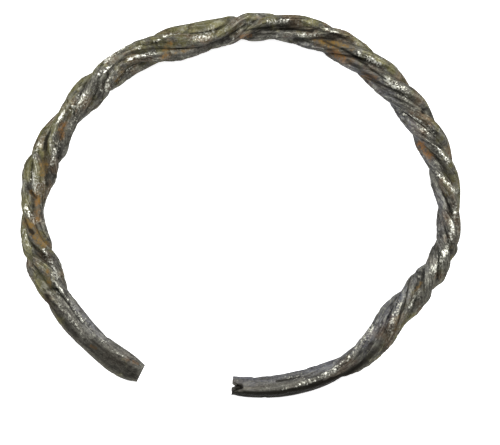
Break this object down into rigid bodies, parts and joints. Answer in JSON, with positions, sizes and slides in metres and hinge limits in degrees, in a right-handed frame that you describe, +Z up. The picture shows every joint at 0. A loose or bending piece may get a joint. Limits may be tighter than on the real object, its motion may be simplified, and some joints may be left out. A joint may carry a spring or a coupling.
{
  "type": "braided silver bracelet",
  "caption": "Open bracelet of hammered rods twisted into a rope, with squarish forged ends, one split and one blunt.",
  "frame": {"origin": "middle of the bracelet's box, on the surface that it lies on", "axes": "+Z up, out of the ring's plane; +X across the ring, towards the side where the rope is a plain twist; +Y away from the mouth"},
  "size_m": [0.0658, 0.0578, 0.0048],
  "materials": {
    "tarnished_silver": "dark tarnished silver, worn bright on the crests, with rust-brown soil in the hollows"
  },
  "bodies": {
    "root": {"bracelet": "tarnished_silver"}
  },
  "joints": []
}
